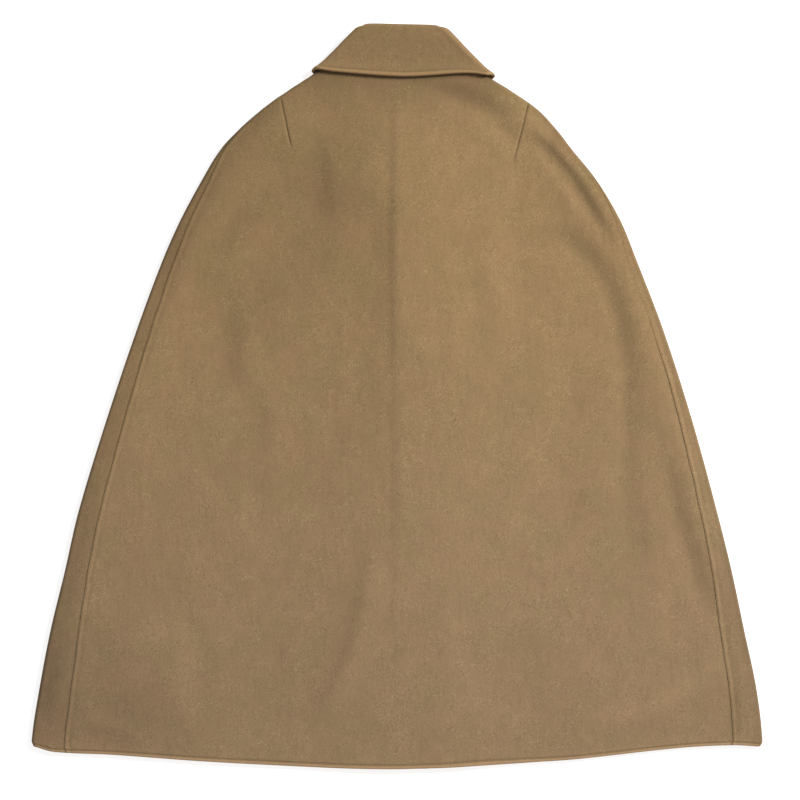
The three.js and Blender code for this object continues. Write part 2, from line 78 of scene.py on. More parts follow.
# Neck: here the collar lies beneath the fronts and on the back, so every layer is level
NECK_X = 8
NECK_Y = 452
NECK_REACH = 170
NECK_FADE = 60
NECK_SEAM_Y = 453
NECK_LOFT = CLOTH + SEAT + 0.3
FRONT_LEVEL = CLOTH / 2 + CLOTH + SEAT
BACK_LEVEL = FRONT_LEVEL + CLOTH + SEAT + NECK_LOFT
STAND_LEVEL = (BACK_LEVEL - FRONT_LEVEL) / 2  # of the collar's stand, from the neck's middle
FALL_LEVEL = STAND_LEVEL + CLOTH + SEAT  # of its fall, where that lies on the stand or the back
ROLL_LOFT = 2.4  # how far the fall stands off its stand at the roll line
ROLL_REACH = 0.7  # share of the fall's width over which it comes down again
EDGE_LIFT = 1.6  # how far the fall's edge stands up, between these distances from it
EDGE_LIFT_SPAN = (5, 20)
NECK_CALM = (412, 438)  # folds end between these heights
NECK_CALM_DEPTH = 2.4  # none sinks further by the neck
FRONT_TOP_Y = 449.5
NECKLINE_EASE = 1.4  # from the collar's neck edge down to the front's
NECKLINE_FOOT = {"left": 380, "right": 379}
NECKLINE_STEP = 0.6

HEM_SIDE_Y = -472
HEM_BEND_HEIGHT = 320

# Sections of the laid cape from hem to neck: the reach of each side, and its seam's place inside that.
# A row's y is true at the two ends of the hem. Further in, the lower rows bend with it
SECTION_COLUMNS = ("y", "left", "right", "left_seam", "right_seam")
SECTIONS = [
    (-472, 490, 490, 44, 40.5),
    (-464, 493, 493, 44, 40.5),
    (-396, 483, 485, 42.5, 38.5),
    (-315, 468, 468, 38.5, 33),
    (-234, 448, 451, 31.5, 27.5),
    (-153, 429, 431, 29, 23.5),
    (-32, 392, 398, 24, 18.5),
    (90, 351, 359, 19, 14.5),
    (184, 316, 323, 15.5, 12.5),
    (238, 292, 301, 13, 7),
    (292, 263, 269, 10, 1),
    (333, 238, 236, 5, 0),
    (360, 213, 215, 1, 0),
    (387, 182, 189, 0, 0),
    (414, 144, 150, 0, 0),
    (435, 112, 117, 0, 0),
    (456, 91.5, 101, 0, 0),
]

# The hem's height across the cape, in X and Y
HEM = [
    (-489, -472), (-462, -479), (-381, -483), (-273, -491), (-165, -497), (-57, -501.5), (51, -501.5),
    (132, -497), (240, -489), (348, -477), (402, -472), (456, -470), (489, -472),
]

# Soft folds of the back. Each row has the fold's bowed line, from one point by way of another to a third,
# all in X and Y, then its half width, its height or, below zero, depth, and how far its steeper flank
# leans to the line's right
FOLDS = [
    (8, 430, 12, 120, 14, -300, 90, 3, 0.25),
    (-95, 410, -55, 250, -215, 150, 44, -2.6, 0),
    (40, 418, 136, 390, 184, 312, 15, -2.2, 0),
    (172, 354, 231, 308, 290, 200, 12, -2.3, 0),
    (200, 222, 318, 190, 312, -40, 16, -2, 0),
    (312, 20, 304, -120, 330, -240, 17, -1.9, 0),
    (359, -72, 371, -167, 420, -300, 16, -2, 0),
    (-286, -275, -262, -350, -259, -430, 20, -1.6, 0),
    (-34, -190, -38, -350, -112, -436, 18, 2.2, 0.25),
    (440, -340, 372, -430, 262, -446, 17, 2.2, 0),
    (-96, 356, -78, 300, -86, 225, 16, 1.3, 0.2),
    (-150, 285, -205, 228, -250, 150, 22, 2, 0.2),
    (-205, 117, -202, 60, -201, 9, 18, 1.7, 0),
    (-165, 22, -170, -60, -166, -140, 20, 1.6, 0.2),
    (121, 265, 130, 165, 148, 63, 24, 1.6, 0),
    (186, -65, 160, -130, 132, -207, 22, 1.5, 0),
    (240, -136, 270, -130, 301, -121, 14, 1.3, 0),
    (-425, -438, -380, -452, -335, -458, 14, 1.5, 0),
]

# Smaller creases between the folds, with the same numbers in a row
CREASES = [
    (-127, 211, -136, 180, -150, 146, 11, 0.6, 0.2),
    (-310, 88, -300, 52, -296, 10, 12, -0.6, 0),
    (-88, 78, -84, 50, -80, 18, 12, 0.5, 0.2),
    (-92, -82, -86, -108, -80, -136, 10, 0.6, 0.2),
    (-345, -352, -328, -380, -322, -412, 11, -0.6, 0),
    (-262, -214, -276, -226, -296, -262, 13, 0.8, -0.2),
    (330, -392, 322, -414, 318, -440, 10, -0.6, 0),
    (402, -352, 400, -376, 392, -404, 10, -0.6, 0),
    (432, -268, 450, -350, 458, -440, 9, -0.7, 0),
    (152, 54, 158, 20, 152, -16, 14, 0.7, 0.2),
    (-1, 405, 0, 250, 4, 60, 8, 0.55, 0.3),
    (4, 90, 5, -70, 5, -230, 8, 0.4, 0.3),
    (88, 392, 128, 378, 168, 352, 12, 0.7, 0.2),
    (205, 300, 230, 270, 250, 236, 11, 0.7, 0.2),
    (232, 60, 240, 0, 236, -60, 14, -0.5, 0),
    (60, -260, 70, -330, 64, -400, 16, 0.6, 0),
    (150, -300, 170, -360, 190, -430, 15, -0.5, 0),
    (-200, -180, -212, -240, -214, -300, 14, 0.5, 0.2),
    (-380, -60, -372, -120, -384, -190, 12, -0.5, 0),
    (-330, 200, -300, 240, -262, 266, 9, -0.5, 0),
    (-60, 180, -52, 120, -56, 60, 13, -0.5, 0),
    (70, 180, 78, 120, 72, 50, 14, 0.5, 0),
]

# Painted shade over the back where it lies away from the light, and painted light where the share is below
# zero: the same line and half width, then the share of darkening
PAINTED_SHADE = [
    (-110, 390, -120, 260, -170, 60, 95, 0.115),
    (-165, 395, -262, 295, -330, 120, 30, 0.13),
    (-96, 385, -82, 300, -95, 205, 32, 0.06),
    (-108, 356, -90, 300, -98, 235, 15, 0.055),
    (-4, 425, -4, 300, -4, 190, 6, 0.06),
    (-8, 380, -6, 50, -3, -440, 4, 0.1),
    (-11, 320, -8, 190, -5, 20, 4, 0.08),
    (-22, 380, -22, 190, -22, -40, 9, -0.045),
    (-40, 110, -36, 0, -44, -150, 22, -0.03),
    (70, 400, 84, 220, 84, 20, 70, -0.06),
    (210, 220, 190, 0, 130, -300, 95, -0.05),
    (-20, -60, 0, -200, 20, -330, 90, -0.03),
    (-110, 275, -186, 280, -246, 176, 22, 0.075),
    (-214, 140, -220, 60, -226, 6, 16, 0.07),
    (-200, 190, -195, 130, -200, 50, 50, 0.045),
    (-170, 395, -125, 390, -80, 396, 26, 0.06),
    (-131, 10, -131, -72, -131, -150, 50, 0.035),
    (-400, -430, -333, -442, -240, -440, 36, 0.055),
    (188, 386, 202, 360, 228, 324, 14, 0.06),
    (160, 328, 159, 320, 158, 312, 4, 0.14),
    (-118, 215, -124, 180, -128, 140, 14, 0.035),
    (-80, 150, -82, -60, -80, -330, 8, 0.035),
    (-200, -10, -220, -80, -252, -140, 10, 0.03),
    (-48, -198, -54, -350, -124, -436, 10, 0.04),
    (-30, -210, -36, -330, -84, -420, 12, -0.05),
    (40, 418, 116, 410, 164, 370, 12, 0.13),
    (182, 356, 240, 314, 296, 202, 6.5, 0.34),
    (190, 338, 236, 290, 284, 200, 12, 0.05),
    (200, 370, 250, 320, 300, 235, 14, 0.04),
    (235, 285, 262, 262, 280, 215, 10, 0.055),
    (196, 226, 320, 200, 314, -30, 12, 0.16),
    (314, 60, 306, -120, 322, -240, 8, 0.085),
    (369, -78, 384, -170, 436, -320, 11, 0.08),
    (350, -170, 356, -260, 366, -330, 11, -0.05),
    (430, -350, 376, -424, 250, -444, 13, -0.085),
    (452, -392, 456, -430, 454, -466, 10, 0.07),
    (-333, -382, -336, -400, -334, -412, 16, 0.05),
    (-274, -352, -266, -380, -250, -420, 15, 0.05),
    (-480, -320, -410, -430, -290, -440, 60, 0.1),
    (-400, -40, -420, -180, -440, -320, 45, 0.035),
    (-390, -120, -385, -280, -370, -430, 48, 0.045),
    (-478, -270, -474, -400, -440, -490, 40, 0.13),
    (-415, -440, -380, -452, -350, -466, 10, 0.06),
    (-150, -300, -150, -380, -150, -450, 70, 0.06),
    (484, -490, 474, -320, 440, -160, 28, 0.14),
]
PAINTED_SHADE_LEFT_EDGE = 0.1  # painted shade on the rounded left side, and how far in it goes
PAINTED_SHADE_LEFT_WIDTH = 17
PAINTED_SHADE_OUTLINE = 0.42  # painted shade in a thin dark line round the sides
PAINTED_SHADE_OUTLINE_WIDTH = 3.4
PAINTED_SHADE_BY_COLLAR = [(0.3, 4.5, 6), (0.24, 44, 20)]  # painted shadow below the collar's edge: share, width and reach past its ends

# Stations of the collar from its left end to its right: its roll line and outer edge, in X and Y, then the
# neck seam's height, and 180 where it lies beneath the fronts, 0 on the back, or a side's name where it
# turns over the fold at the side of the neck
COLLAR = [
    (-5, 387, -54, 319, 380, 180),
    (-50, 440, -98, 372, 420, 180),
    (-56, 492.5, -115, 437.5, NECK_SEAM_Y, "left"),
    (-36, 501.8, -78, 436, NECK_SEAM_Y, 0),
    (5, 501, 8, 430, NECK_SEAM_Y, 0),
    (46, 500, 90, 434.5, NECK_SEAM_Y, 0),
    (69, 492.5, 132, 431, NECK_SEAM_Y, "right"),
    (65, 440, 113, 372, 420, 180),
    (22, 387, 72, 319, 380, 180),
]

# Where each turn's upper end lies on the back: roll line and outer edge
COLLAR_STARTS = {"left": (-45.5, 499.3, -104, 439.5), "right": (56, 498, 122, 431.5)}

# Soft waves of the fall: height, how fast they go by along the stations, length down the fall and seed
COLLAR_WAVES = [(0.25, 0.16, 22, 2.9), (0.12, 0.5, 8, 8.9)]

# Shoulder darts: the sewn line from the shoulder down, in X and Y, and how far a dimple runs on past it
DARTS = [
    (-156, 399, -143.6, 340, 10),
    (177, 395, 158.6, 322.5, 16),
]
DART_WIDTH = 0.8
DART_DEPTH = 1.2
# Painted shade along a dart's line, as a share
DART_SHADE = 1.4
DART_SWELL = 0.12
DART_SWELL_PLACE = 4.5
DART_HEAD = (-4, 2)  # the line comes in between these places at its start
DART_TAIL = 6  # and starts to die away this far before its end
DART_REACH = 12  # the mesh is made finer this far round it
DART_CUTS = 3

# Sewn edges: a rounded edge, a groove where the stitches pull the cloth down, and the welt beside a seam
EDGE_ROUND = 1.9
SEAM_ROUND = 0.5
SEAM_SHOWN = 0.25  # share of a seam's gap that is left where the cloth is drawn together
# Width of the painted shade along a seam
SEAM_SHADE_WIDTH = 1.2
SEAM_SWAY = 0.9  # how far a seam strays from its line
SEAM_SWAY_WAVE = 36
SEAM_SWAY_SEED = 51.3
SEAM_SWAY_INSET = (2, 12)  # a seam sways fully where it lies this far in
EDGE_BLUNT = 0.1  # share of the wall's half that a rounded edge keeps
HEM_GROOVE_PLACE = 5.4
HEM_GROOVE_WIDTH = 1.3
HEM_GROOVE_DEPTH = 0.5
HEM_ROLL_SHARE = 0.1  # the hem is pressed flatter than in its solid
COLLAR_GROOVE_PLACE = 6.8
COLLAR_GROOVE_DEPTH = 0.3
WELT_RIDGE = (2.7, 1.25, 0.32)  # place, width and height of a welt, and of the hollow beyond it
WELT_FOOT = (6.8, 2, -0.35)
WELT_SWAY = 0.6  # share by which its height comes and goes
WELT_SWAY_WAVE = 15
WELT_SWAY_SEED = 61.7
RIGHT_SEAM_FLAT = (15, 130)  # the right seam is pressed flatter between these heights, upwards
RIGHT_SEAM_LEFT_OVER = 0.12
PUCKER_REACH = 9
PUCKER_HEIGHT = 0.5
PUCKER_DRAWN_OUT = 0.3  # gathers change this share as fast across a line of sewing as along it
PUCKER_WAVES = [(7, 1, 0), (17, 0.6, 5)]  # length, share and what is added to the seed
PUCKER_SEEDS = {
    "left": 3.1, "right": 7.7, "front": 13.3,
    "back_cloth": 5.3, "left_front_cloth": 9.1, "right_front_cloth": 9.1,
}

# Width of the hem's turned edge by X, and where the painted highlight on it fades out, and on the collar's
HEM_BAND = [(-489, 4), (-400, 4.8), (-150, 5.6), (40, 5.6), (110, 6.6), (200, 5), (489, 4.4)]
HEM_HIGHLIGHT_FADE = (3, 4.6)
COLLAR_HIGHLIGHT_FADE = (4.2, 6)

# Unevenness of the cloth: the length of its waves, their height and the seed of each
UNEVENNESS = [(120, 1.1, 11.3), (48, 0.6, 23.7), (19, 0.2, 37.1), (9, 0.06, 41.9)]

# Fineness: distances of the mesh's points from an edge and from a seam, then steps and numbers of steps
EDGE_STEPS = (0, 0.12, 0.4, 0.8, 1.3, 1.9, 2.7, 3.6, 4.5, 5.3, 6, 6.7, 7.5, 8.5, 10, 12)
SEAM_STEPS = (0, 0.1, 0.3, 0.6, 1, 1.6, 2.4, 3.4, 4.5, 5.8, 7.4, 9.2, 11.4, 14)
OPENING_STEPS = EDGE_STEPS[:9]
FAR_FROM_SEAM = 4 * SEAM_STEPS[-1]  # stands for every place away from the seams
ROW_STEP = 4.5
SHOULDER_Y = 345
SHOULDER_ROW_STEP = 3.2
BACK_COLUMNS = 150
STRIP_COLUMNS = 24
UNDER_COLUMNS = 66
FIT_PASSES = 6
BOW_STEPS = 16
COLLAR_STEPS = 12
COLLAR_TURN_STEPS = 14
STAND_STEPS = 5
ROLL_TURN_STEPS = 10
FALL_STEPS = 14
FALL_END = 3  # the even steps of the fall end this far before the close ones at its edge
SHARP_ANGLE = 50
FACING_UP = 0.5  # least upward part of a face's normal where a dart is sewn, and of a point's
POINTING_UP = 0.2

# Stitches
STITCH_SIDES = 6
STITCHES = {"hem": (4.6, 2.6), "collar": (3.8, 2.4), "seam": (5.0, 1.9)}  # pitch and length
THREAD_RADIUS = 0.24
THREAD_SWAY = 0.12  # how far a stitch turns off its line
THREAD_SWAY_PACE = 0.31
THREAD_SWAY_SEED = 6.1
# Rings of a stitch: place along it, in its length, then height and girth in the thread's radius
THREAD_RINGS = ((-0.5, -1.4, 0.7), (-0.36, -0.25, 1), (0, 0.12, 1.05), (0.36, -0.25, 1), (0.5, -1.4, 0.7))
HEM_LINE_ENDS = (44, 42)  # how far inside the side folds the hem's stitches end
HEM_LINE_POINTS = 160
SEAM_LINE_ENDS = (4, 30)  # how far above the hem and below the neck seam a side seam's stitches end
SEAM_LINE_STEP = 6.0

# Camera and light
VIEW_WIDTH = 1.08  # metres of the surface that the picture takes in
CAMERA_PLACE = (0.004, -0.0047, 3.6)
SENSOR = 36
KEY_PLACE = (4.9, 3.0, 3.5)
KEY_SIZE = 1.6
KEY_POWER = 562
WORLD_STRENGTH = 0.4
FLOOR_HALF = 8
FLOOR_DROP = 0.0004
FLOOR_TINT = 0.6
FLOOR_ROUGHNESS = 0.9
FLOOR_GLOW = 0.72


# Small helpers

def smooth(low, high, value):
    share = np.clip((value - low) / (high - low), 0, 1)
    return share * share * (3 - 2 * share)


def mix(start, end, share):
    return start + (end - start) * share


def bell(value, width):
    return np.exp(-((value / width) ** 2))


def along(rows, at, column=1):
    """A smooth curve through one column of a table whose rows rise by their first number."""
    keys, values = np.array(rows, float)[:, [0, column]].T
    last = len(rows) - 1
    order = np.arange(len(rows))
    before = np.maximum(order - 1, 0)
    after = np.minimum(order + 1, last)
    slopes = (values[after] - values[before]) / (keys[after] - keys[before])
    place = np.clip(at, keys[0], keys[-1])
    low = np.clip(np.searchsorted(keys, place) - 1, 0, last - 1)
    span = keys[low + 1] - keys[low]
    share = (place - keys[low]) / span
    square = share * share
    cube = square * share
    return (
        (2 * cube - 3 * square + 1) * values[low]
        + (cube - 2 * square + share) * span * slopes[low]
        + (3 * square - 2 * cube) * values[low + 1]
        + (cube - square) * span * slopes[low + 1]
    )


def ripple(x, y, size, seed):
    """Soft waves from -1 to 1 over the plan, about one size long."""
    across, up = np.broadcast_arrays(x / size, y / size)
    waves = [noise.noise(Vector((a, b, seed))) for a, b in zip(across.ravel(), up.ravel())]
    return np.array(waves).reshape(across.shape)


# Plan of the laid cape

def reach(side, y):
    return along(SECTIONS, y, SECTION_COLUMNS.index(side))


def seam_inset(side, y):
    return np.maximum(0, along(SECTIONS, y, SECTION_COLUMNS.index(side + "_seam")))


def slant(side, y):
    """How much wider the fold is along X than square to the outline, where the outline slants."""
    step = 4
    return np.hypot(1, (reach(side, y + step) - reach(side, y - step)) / (2 * step))


def from_sides(x, row_y):
    """Distances from the left outline and the right one, square to them."""
    from_left = (x + reach("left", row_y)) / slant("left", row_y)
    from_right = (reach("right", row_y) - x) / slant("right", row_y)
    return from_left, from_right


def peek(x, row_y):
    """How much higher the back's hem lies than the fronts', where a front shows below it."""
    past = np.abs(x - PEEK_X) - PEEK_HALF_WIDTH
    height = PEEK_HEIGHT * (1 - smooth(-PEEK_EASE, PEEK_EASE, past))
    return height * (1 - smooth(0, PEEK_REACH, row_y - HEM_SIDE_Y))


def bent_y(x, row_y):
    """The true height on the lay of a point of a section: the lower sections bend with the hem."""
    bend = along(HEM, x) - HEM_SIDE_Y
    return row_y + bend * (1 - smooth(0, HEM_BEND_HEIGHT, row_y - HEM_SIDE_Y))


# Heights of the layers

def neck_share(x, y):
    return 1 - smooth(NECK_REACH, NECK_REACH + NECK_FADE, np.hypot(x - NECK_X, y - NECK_Y))


def edge_roll(from_edge):
    return EDGE_ROLL * smooth(*EDGE_ROLL_RISE, from_edge) * (1 - smooth(*EDGE_ROLL_FALL, from_edge))


def hem_roll(row_y):
    return HEM_ROLL_SHARE * edge_roll(row_y - HEM_SIDE_Y)


def lap_rise(x, row_y, slope):
    rise = smooth(LAP_EDGE["right"] - slope, LAP_EDGE["right"] - LAP_CLEAR, x)
    return (CLOTH + SEAT + hem_roll(row_y)) * rise


def front_middle(side, x, row_y):
    over_collar = (CLOTH + SEAT) * neck_share(x, bent_y(x, row_y))
    lap = lap_rise(x, row_y, LAP_SLOPE) if side == "left" else 0
    return CLOTH / 2 + over_collar + lap


def fold_relief(rows, x, y):
    """The heights of bowed folds over the plan, each a soft ridge or trough that dies away at its ends."""
    relief = np.zeros(np.broadcast(x, y).shape)
    shares = np.linspace(0, 1, BOW_STEPS + 1)
    weights = np.array([(1 - shares) ** 2, 2 * shares * (1 - shares), shares**2])
    for from_x, from_y, via_x, via_y, to_x, to_y, width, height, lean in rows:
        line_x = np.dot((from_x, via_x, to_x), weights)
        line_y = np.dot((from_y, via_y, to_y), weights)
        nearest = np.full(relief.shape, np.inf)
        place = np.zeros(relief.shape)
        side = np.zeros(relief.shape)
        for step in range(BOW_STEPS):
            run_x = line_x[step + 1] - line_x[step]
            run_y = line_y[step + 1] - line_y[step]
            off_x = x - line_x[step]
            off_y = y - line_y[step]
            share = np.clip((off_x * run_x + off_y * run_y) / (run_x**2 + run_y**2), 0, 1)
            distance = np.hypot(off_x - share * run_x, off_y - share * run_y)
            closer = distance < nearest
            nearest = np.where(closer, distance, nearest)
            place = np.where(closer, (step + share) / BOW_STEPS, place)
            side = np.where(closer, np.sign(off_x * run_y - off_y * run_x), side)
        taper = smooth(-FOLD_TAPER / 3, FOLD_TAPER, np.minimum(place, 1 - place))
        relief += height * taper * bell(nearest, width * (1 - lean * side))
    return relief


def unevenness(x, y):
    return sum(height * ripple(x, y, size, seed) for size, height, seed in UNEVENNESS)


def side_share(side, inside):
    """Share of the broad loft near a side fold: the back rises from the fold and comes down again."""
    at_fold, highest = SIDE_SHARE[side]
    rising = mix(at_fold, highest, smooth(0, SIDE_RISE, inside))
    return mix(rising, 1, smooth(SIDE_RISE, SIDE_END, inside))


def back_middle(x, row_y, finely=True):
    """Height of the middle of the back's cloth. A side fold is fitted to the plain form."""
    y = bent_y(x, row_y)
    from_left, from_right = from_sides(x, row_y)
    inside = np.minimum(from_left, from_right)
    hem_share = mix(HEM_LOFT, 1, smooth(0, HEM_LOFT_WIDTH, row_y - HEM_SIDE_Y))
    folds = fold_relief(FOLDS, x, y) * smooth(0, FOLD_FADE, inside)
    if finely:
        fine = fold_relief(CREASES, x, y) + unevenness(x, y)
        folds = folds + fine * smooth(0, FOLD_FADE, inside)
    broad = BROAD_LOFT * hem_share * side_share("left", from_left) * side_share("right", from_right)
    relief = broad + folds
    loft = (relief + np.hypot(relief, LOFT_EASE)) / 2
    past_lap = smooth(LAP_EDGE["left"] + LAP_CLEAR, LAP_DRAPE_END, x)
    lower = smooth(*LAP_DRAPE_CHANGE, row_y)
    slope = mix(*LAP_DRAPE, lower)
    lap = lap_rise(x, row_y, slope) * (1 - past_lap)
    level = CLOTH + hem_roll(row_y) + lap + SEAT + CLOTH / 2 + loft
    by_neck = np.maximum(-NECK_CALM_DEPTH, folds) * (1 - smooth(*NECK_CALM, y))
    return mix(level, BACK_LEVEL + by_neck, neck_share(x, y))


def painted_light_and_shade(x, row_y):
    """Painted light and shade over the plan, as a factor on the wool's colour: 1 as it is, less where
    shade is painted, more where light is.
    """
    y = bent_y(x, row_y)
    from_left, from_right = from_sides(x, row_y)
    darker = fold_relief([(*row, 0) for row in PAINTED_SHADE], x, y)
    darker = darker + PAINTED_SHADE_LEFT_EDGE * bell(from_left, PAINTED_SHADE_LEFT_WIDTH)
    return 1 - darker - PAINTED_SHADE_OUTLINE * bell(np.minimum(from_left, from_right), PAINTED_SHADE_OUTLINE_WIDTH)


def side_fold(side, row_y):
    """The side fold of each section: where it starts to turn, and its radius in the cloth's middle."""
    sign = -1 if side == "left" else 1
    stretch = slant(side, row_y)
    radius = np.full(row_y.shape, float(BROAD_LOFT))
    for _ in range(FIT_PASSES):
        x = sign * (reach(side, row_y) - stretch * (radius + CLOTH / 2))
        radius = (back_middle(x, row_y, False) - front_middle(side, x, row_y)) / 2
    quarter = math.pi / 2 * radius
    inset = seam_inset(side, row_y)
    sway = SEAM_SWAY * ripple(0 * row_y, row_y, SEAM_SWAY_WAVE, SEAM_SWAY_SEED + sign)
    inset = inset + sway * smooth(*SEAM_SWAY_INSET, inset)
    turn_width = stretch * (radius + CLOTH / 2)
    seam_angle = np.arccos(np.clip(1 - inset / turn_width, 0, 1))
    seam = np.where(inset < turn_width, radius * seam_angle, quarter + inset - turn_width)
    middle = front_middle(side, x, row_y) + radius
    return {
        "sign": sign, "stretch": stretch, "radius": radius, "x": x, "middle": middle,
        "quarter": quarter, "seam": seam, "row_y": row_y,
    }


def fold_centre(fold, place):
    """Middle of the cloth at places on a side fold, with its way out and its share of the upper side.
    Places count from the outermost line, upwards over the back, and past the turn they run level."""
    angle = np.minimum(place / fold["radius"], math.pi / 2)
    turn_x = fold["x"] + fold["sign"] * fold["stretch"] * fold["radius"] * np.cos(angle)
    turn_z = fold["middle"] + fold["radius"] * np.sin(angle)
    top_x = fold["x"] - fold["sign"] * (place - fold["quarter"])
    on_top = place >= fold["quarter"]
    x = np.where(on_top, top_x, turn_x)
    z = np.where(on_top, back_middle(x, fold["row_y"]), turn_z)
    return {
        "x": x,
        "z": z,
        "out_x": np.where(on_top, 0, fold["sign"] * fold["stretch"] * np.cos(angle)),
        "out_z": np.where(on_top, 1, np.sin(angle)),
        "up": np.where(on_top, 1, (1 + np.sin(angle)) / 2),
    }


def level_centre(x, z, out=1):
    """Cloth that lies level, with its outer face up, or down where out is -1."""
    return {"x": x, "z": z, "out_x": 0 * z, "out_z": 0 * z + out, "up": 0 * z + max(out, 0)}


def joined(parts):
    """Blocks of columns side by side."""
    return {key: np.hstack([part[key] for part in parts]) for key in parts[0]}


# Sewn edges

def rounding(from_edge, radius):
    """Share of the wall's half thickness that is left near a rounded edge."""
    near = 1 - np.clip(from_edge / radius, 0, 1)
    return EDGE_BLUNT + (1 - EDGE_BLUNT) * np.sqrt(1 - near * near)


def groove(from_edge, place=HEM_GROOVE_PLACE):
    """The line of hem stitches, pulled down into the cloth."""
    return bell(from_edge - place, HEM_GROOVE_WIDTH)


def from_hem(x, row_y):
    """Distance from the hem, in steps that make its turned edge as wide as it is here."""
    width = along(HEM_BAND, x)
    return (row_y - HEM_SIDE_Y) * HEM_GROOVE_PLACE / width


def seam_clearness(side, y):
    """How much a side seam shows: the right one is pressed flatter towards the shoulder."""
    if side == "left":
        return 1 + 0 * y
    return 1 - (1 - RIGHT_SEAM_LEFT_OVER) * smooth(*RIGHT_SEAM_FLAT, y)


def ridge(at, place, width, height):
    return height * bell(at - place, width)


def welt(from_seam, y):
    uneven = 1 + WELT_SWAY * ripple(0 * y, y, WELT_SWAY_WAVE, WELT_SWAY_SEED)
    return uneven * ridge(from_seam, *WELT_RIDGE) + ridge(from_seam, *WELT_FOOT)


def pucker(from_line, place, seed):
    """Short uneven gathers beside a line of sewing."""
    across = from_line * PUCKER_DRAWN_OUT
    waves = sum(share * ripple(across, place, size, seed + more) for size, share, more in PUCKER_WAVES)
    return PUCKER_HEIGHT * waves * np.exp(-from_line / PUCKER_REACH)


def wall_faces(centre, row_y, roundness, extra, higher=0):
    """Outer and inner face of a panel's cloth: its rolled hem, rounded edges and outer relief."""
    roll = HEM_ROLL_SHARE * edge_roll(from_hem(centre["x"], row_y))
    outer = CLOTH / 2 + roll * centre["up"]
    inner = CLOTH / 2 + roll * (1 - centre["up"])
    half = (outer + inner) / 2 * roundness
    shift = (outer - inner) / 2
    y = bent_y(centre["x"], row_y) + higher
    faces = []
    for offset in (half + shift + extra * roundness, shift - half):
        x = centre["x"] + centre["out_x"] * offset
        z = centre["z"] + centre["out_z"] * offset
        faces.append(np.stack([x, y + 0 * z, z], axis=-1))
    return faces


# Meshes

def cloth_wall(name, outer, inner, marks):
    """A closed wall of cloth through a grid of points on each face. Marks are values kept per point."""
    rows, columns = outer.shape[:2]
    count = rows * columns
    points = np.concatenate([outer.reshape(-1, 3), inner.reshape(-1, 3)]) * MM
    index = np.arange(count).reshape(rows, columns)
    corners = [index[:-1, :-1], index[:-1, 1:], index[1:, 1:], index[1:, :-1]]
    grid = np.stack([corner.ravel() for corner in corners], axis=-1)
    rim = np.concatenate([index[0, :-1], index[:-1, -1], index[-1, :0:-1], index[:0:-1, 0]])
    after = np.roll(rim, -1)
    sides = np.stack([rim, rim + count, after + count, after], axis=-1)
    quads = [grid, grid[:, ::-1] + count, sides]
    mesh = bpy.data.meshes.new(name)
    mesh.from_pydata(points.tolist(), [], np.concatenate(quads).tolist())
    for mark, values in marks.items():
        layer = mesh.attributes.new(mark, "FLOAT", "POINT")
        both = np.concatenate([values.ravel(), values.ravel()])
        layer.data.foreach_set("value", both.astype(np.float32))
    face_out(mesh)
    mesh.shade_smooth()
    mesh.set_sharp_from_angle(angle=math.radians(SHARP_ANGLE))
    return placed(name, mesh)


def placed(name, data):
    thing = bpy.data.objects.new(name, data)
    bpy.context.scene.collection.objects.link(thing)
    return thing


def face_out(mesh):
    """Turns every face of a closed mesh outwards."""
    solid = bmesh.new()
    solid.from_mesh(mesh)
    if solid.calc_volume(signed=True) < 0:
        bmesh.ops.reverse_faces(solid, faces=solid.faces)
    solid.to_mesh(mesh)
    solid.free()


def section_rows(top, extra=()):
    """Heights of the sections as a column, close together at the hem's turned edge and the shoulder."""
    edge = [HEM_SIDE_Y + step for step in EDGE_STEPS]
    even = np.arange(edge[-1] + ROW_STEP, SHOULDER_Y, ROW_STEP)
    close = np.linspace(SHOULDER_Y, top, round((top - SHOULDER_Y) / SHOULDER_ROW_STEP) + 1)
    return np.array(sorted([*edge, *even, *close, *extra]))[:, None]


# Panels

def panel(name, centre, row_y, from_seam, clear, relief, shown=1, roundness=1, higher=0, shade=0):
    """A panel from the middle of its cloth, with its seams' edges, its sewn hem and its marks."""
    x = centre["x"]
    hem = from_hem(x, row_y)
    rounded = rounding(row_y - HEM_SIDE_Y, EDGE_ROUND) * rounding(from_seam, SEAM_ROUND * clear)
    extra = relief + pucker(hem, x, PUCKER_SEEDS[name]) - HEM_GROOVE_DEPTH * groove(hem)
    outer, inner = wall_faces(centre, row_y, rounded * roundness, extra * shown, higher)
    # Marks: painted shade in the hem groove and along the seams, a painted highlight on the turned hem,
    # and painted light and shade over the plan, darker still by the painted shadow below the collar
    marks = {
        "groove": np.maximum(groove(hem) * shown, bell(from_seam, SEAM_SHADE_WIDTH) * clear),
        "edge": 1 - smooth(*HEM_HIGHLIGHT_FADE, hem),
        "painted_light_and_shade": painted_light_and_shade(x, row_y) - shade,
    }
    return cloth_wall(name, outer, inner, marks)


def painted_shadow_under_collar(x, y):
    """Painted shadow on the back right below the collar's edge."""
    on_back = [row[2:4] for row in COLLAR if row[-1] == 0]
    places, heights = zip(COLLAR_STARTS["left"][2:], *on_back, COLLAR_STARTS["right"][2:])
    below = np.interp(x, places, heights) - y
    beyond = np.maximum(0, np.maximum(places[0] - x, x - places[-1]))
    return sum(share * bell(beyond, end) * bell(below, width) for share, width, end in PAINTED_SHADE_BY_COLLAR)


def from_dart(dart, x, y):
    """How far down a dart's line points lie, how far from it, and the line's length."""
    from_x, from_y, to_x, to_y, _ = dart
    length = math.hypot(to_x - from_x, to_y - from_y)
    run_x = (to_x - from_x) / length
    run_y = (to_y - from_y) / length
    place = (x - from_x) * run_x + (y - from_y) * run_y
    across = np.abs((x - from_x) * run_y - (y - from_y) * run_x)
    return place, across, length


